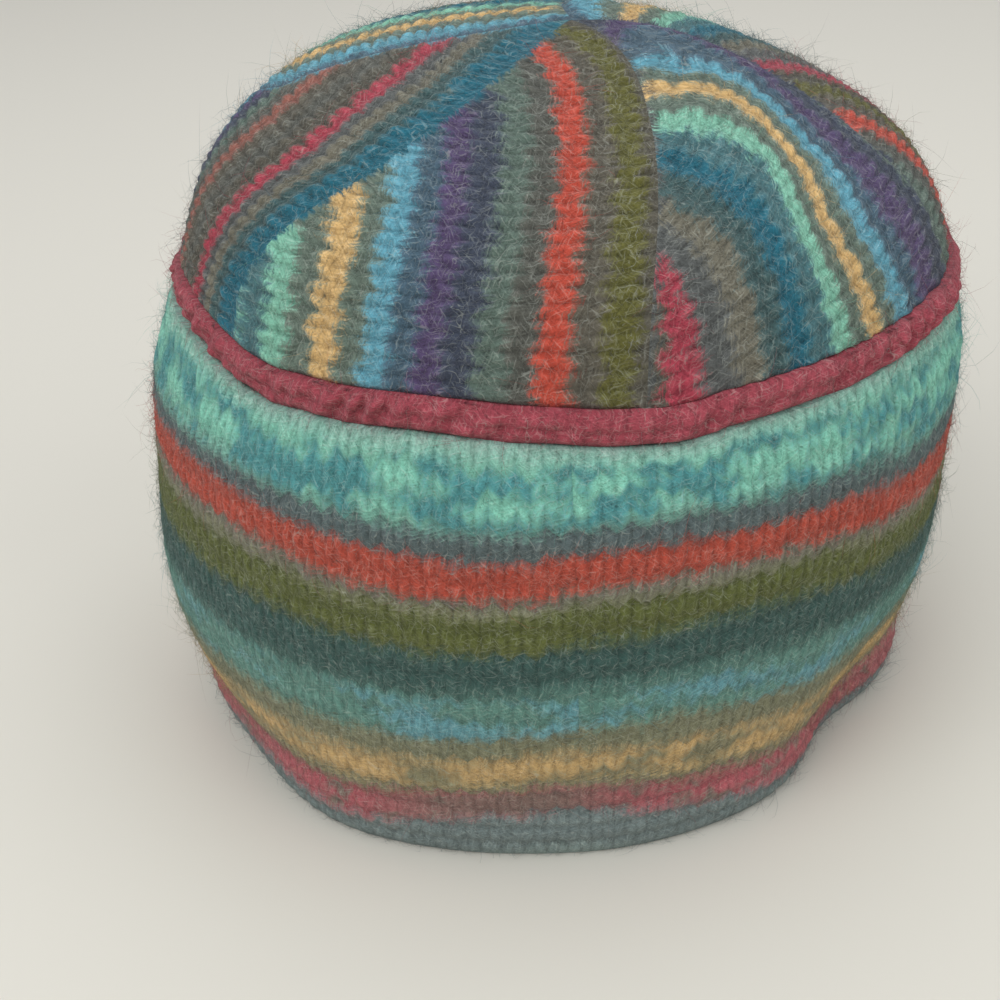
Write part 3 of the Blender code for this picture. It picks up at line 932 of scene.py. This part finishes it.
def stitchNet(number, stripeAt, ringStep=6, columnCount=22):
    # counts stitches along rows that bend, by least squares over a coarse net of the wedge
    netRings = np.arange(0, rings - ringStep, ringStep)
    shares = np.linspace(0, 1, columnCount)
    widths = seams[number + 1] - seams[number]
    net = [alongRing(number, ring, widths[ring] * shares) for ring in netRings]
    place, face = (np.array(part) for part in zip(*net))
    small = 0.0005
    slopes = [stripeAt(place[..., :2] + aside) - stripeAt(place[..., :2] - aside)
              for aside in ((small, 0), (0, small))]
    rowWay = np.cross(face, np.stack([*slopes, slopes[0] * 0], -1))
    rowWay /= np.linalg.norm(rowWay, axis=-1, keepdims=True)
    index = np.arange(place.shape[0] * columnCount).reshape(-1, columnCount)
    first = np.concatenate([index[:-1].ravel(), index[:, :-1].ravel()])
    second = np.concatenate([index[1:].ravel(), index[:, 1:].ravel()])
    place, rowWay = place.reshape(-1, 3), rowWay.reshape(-1, 3)
    stitch = lengths[-1].mean() / crown["stitches"]
    wanted = ((place[second] - place[first]) * (rowWay[second] + rowWay[first]) / 2).sum(1) / stitch
    system = np.zeros((index.size, index.size))
    target = np.zeros(index.size)
    for a, b, step in zip(first, second, wanted):
        system[a, a] += 1
        system[b, b] += 1
        system[a, b] -= 1
        system[b, a] -= 1
        target[a] -= step
        target[b] += step
    system[0, 0] += 1
    count = np.linalg.solve(system, target).reshape(index.shape)
    return netRings, shares, count - count[0].mean()


def wedgeRecipe(facts):
    inTurn = [crown["stripes"][n % 10] for n in range(facts["first"], facts["last"] + 1)]
    before = crown["stripes"][(facts["first"] - 1) % 10]
    duller = facts.get("duller", {})
    return {
        **crown["recipe"], "rowMm": crown["stripe"] / 2, "stripe": crown["stripe"],
        "first": facts["first"], "edge": facts["edge"],
        "dyes": [duller.get(dye, dye) for dye, marl in inTurn],
        "marls": [before[1]] + [marl for dye, marl in inTurn],
    }


# where the faces of a wedge's solid lie across its bake map, and how long the map is
wedgeStrip = {"outside": (0.03, 0.79), "inside": (0.84, 0.97), "edges": (0.005, 0.02)}
mapStart, mapLong = 0.03, 0.94


def makeWedge(number, facts):
    cloth = Cloth()
    widths = seams[number + 1] - seams[number]
    stripeAt = plateThrough(facts["paths"]) if "paths" in facts else None
    if stripeAt:
        netRings, netShares, net = stitchNet(number, stripeAt)
    else:
        millimetres, stripes = np.array(facts["marks"]).T

    def wedgeMaps(ring, along, place, inside=False):
        share, width = ringShares[ring], widths[ring]
        if stripeAt:
            stripe = stripeAt(place[:, :2])
            near = [np.interp(along / max(width, 1e-6), netShares, row) for row in net]
            at = np.interp(ring, netRings, np.arange(len(netRings)))
            low = min(int(at), len(netRings) - 2)
            beyond = max(ring - netRings[-1], 0) / crown["ringsPerStitch"]
            u = near[low] + (near[low + 1] - near[low]) * (at - low) + beyond
        else:
            hook = crown["hook"] * np.exp(-(width - along) / crown["hookReach"])
            squeeze = 1 - facts["squeeze"] * share
            stripe = np.interp(along * 1000 / squeeze, millimetres, stripes) + hook
            u = np.full_like(along, share * crown["stitches"])
        height = along / widths[0]
        low, high = wedgeStrip["inside" if inside else "outside"]
        strip = low + (high - low) * height
        return {
            "knit": np.stack([u, stripe * 2], -1)[None],
            "shade": np.stack([stripe * crown["stripe"], along * 0 + share], -1)[None],
            "edge": np.stack([(width - along) * 1000, along * 1000], -1)[None],
            "strip": np.stack([along * 0 + mapStart + mapLong * share, strip], -1)[None],
        }

    def places(ring, step):
        width = widths[ring]
        if width < 1e-5:
            return np.array([0.0])
        return np.append(np.arange(max(int(width / step + 0.6), 1)) * step, width)

    outer, outerAlong = [], []
    for ring in range(rings):
        along = places(ring, crown["columnStep"])
        place, face = alongRing(number, ring, along)
        maps = wedgeMaps(ring, along, place)
        nearest = np.minimum(along, widths[ring] - along)
        relief = (stitchHeight(*maps["knit"][0].T) - 0.5) * crown["relief"]
        relief = relief * np.clip(nearest / crown["seamFlat"], 0, 1)
        valley = crown["seamValley"] * np.exp(-(nearest / crown["seamReach"]) ** 2)
        facing = face * (nearest < crown["seamSmooth"])[:, None]
        shaped = swayed(place + face * (relief - valley)[:, None])
        outer.append(cloth.lay(shaped[None], maps, facing=facing[None])[0])
        outerAlong.append(along)
    inner, innerAlong = [], []
    coarse = list(range(0, rings, 4))
    for ring in coarse:
        along = places(ring, crown["columnStep"] * 5)
        place, face = alongRing(number, ring, along)
        inward = crownMiddle - place
        inward /= np.linalg.norm(inward, axis=-1, keepdims=True)
        maps = wedgeMaps(ring, along, place, inside=True)
        inner.append(cloth.lay(swayed(place + inward * hat["wall"])[None], maps)[0])
        innerAlong.append(along)
    faces = []
    for ring in range(rings - 1):
        low, high = outer[ring], outer[ring + 1]
        shared = max(min(len(low), len(high)) - 2, 0)
        quads = np.stack([low[:shared], high[:shared], high[1:shared + 1], low[1:shared + 1]], 1)
        cloth.weave(quads.tolist())
        faces += quads.tolist()
        cloth.zipUp(low[shared:], outerAlong[ring][shared:], high[shared:],
                    outerAlong[ring + 1][shared:], outward=False)
    for ring in range(len(coarse) - 1):
        cloth.zipUp(inner[ring], innerAlong[ring], inner[ring + 1], innerAlong[ring + 1])
    # the edges: along the welt, then up both seams
    lowest, (start, end) = wedgeStrip["edges"][0], wedgeStrip["outside"]
    wide = start + (end - start) * innerAlong[0] / widths[0]
    cloth.zipUp(outer[0], outerAlong[0],
                cloth.again(inner[0], np.stack([wide * 0 + lowest, wide], 1)), innerAlong[0],
                smooth=False)
    shares = ringShares[coarse]
    for side, gap, outward in ((0, lowest, False), (-1, wedgeStrip["edges"][1], True)):
        beside = gap
        if side:
            beside = start + gap + (end - start) * widths[coarse] / widths[0]
        strip = np.stack([mapStart + mapLong * shares, shares * 0 + beside], 1)
        line = cloth.again(np.array([row[side] for row in inner]), strip)
        cloth.zipUp([row[side] for row in outer], ringShares, line, shares, outward, smooth=False)
    looks = bothLooks(facts["name"], wedgeRecipe(facts))
    cloth.finished(facts["name"], wedgeNodes[number], looks, faces)


for number, facts in enumerate(wedges):
    makeWedge(number, facts)


table = {"colour": yarn(217, 212, 201), "half": 3.0}

mesh = bpy.data.meshes.new("floor")
half = table["half"]
mesh.from_pydata([(-half, -half, 0), (half, -half, 0), (half, half, 0), (-half, half, 0)], [],
                 [(0, 1, 2, 3)])
floor = bpy.data.objects.new("floor", mesh)
putInScene(floor)
floor.location.z = -0.0002
floorLook, skin = woolShader("floor_paint")[:2]
skin.inputs["Base Color"].default_value = table["colour"]
skin.inputs["Roughness"].default_value = 0.7
mesh.materials.append(floorLook)

lights = (
    # name, place, size, watts, colour
    ("window", (-0.9, -1.1, 1.5), 1.4, 21.0, (0.96, 0.98, 1.0)),
    ("fill", (1.2, -0.8, 1.0), 1.6, 8.5, (0.95, 0.98, 1.0)),
    ("overhead", (0.1, 0.3, 1.6), 1.6, 11.5, (0.97, 0.99, 1.0)),
)
for name, place, size, watts, colour in lights:
    lamp = bpy.data.lights.new(name, "AREA")
    lamp.size, lamp.energy, lamp.color = size, watts, colour
    lampObject = bpy.data.objects.new(name, lamp)
    lampObject.location = place
    aim = Vector((0, 0, 0.08)) - Vector(place)
    lampObject.rotation_euler = aim.to_track_quat("-Z", "Y").to_euler()
    putInScene(lampObject)

world = bpy.data.worlds.new("studio")
bpy.context.scene.world = world
world.use_nodes = True
air = world.node_tree.nodes["Background"].inputs
air["Color"].default_value = (0.84, 0.87, 0.91, 1)
air["Strength"].default_value = 0.47
bpy.context.scene.view_settings.view_transform = "Standard"

view = {"place": (-0.0193, -0.4053, 0.2840), "yaw": 0.68, "down": 30.0, "roll": -3.08, "lens": 57.6}
yaw, down, roll = (math.radians(view[key]) for key in ("yaw", "down", "roll"))
right = Vector((math.cos(yaw), -math.sin(yaw), 0))
ahead = Vector((math.sin(yaw) * math.cos(down), math.cos(yaw) * math.cos(down), -math.sin(down)))
top = right.cross(ahead)
across = math.cos(roll) * right + math.sin(roll) * top
top = -math.sin(roll) * right + math.cos(roll) * top
camera = bpy.data.objects.new("camera", bpy.data.cameras.new("camera"))
camera.data.lens = view["lens"]
camera.data.sensor_width = 36.0
camera.data.clip_start = 0.01
pose = Matrix((across, top, -ahead)).transposed().to_4x4()
pose.translation = Vector(view["place"])
camera.matrix_world = pose
putInScene(camera)
bpy.context.scene.camera = camera
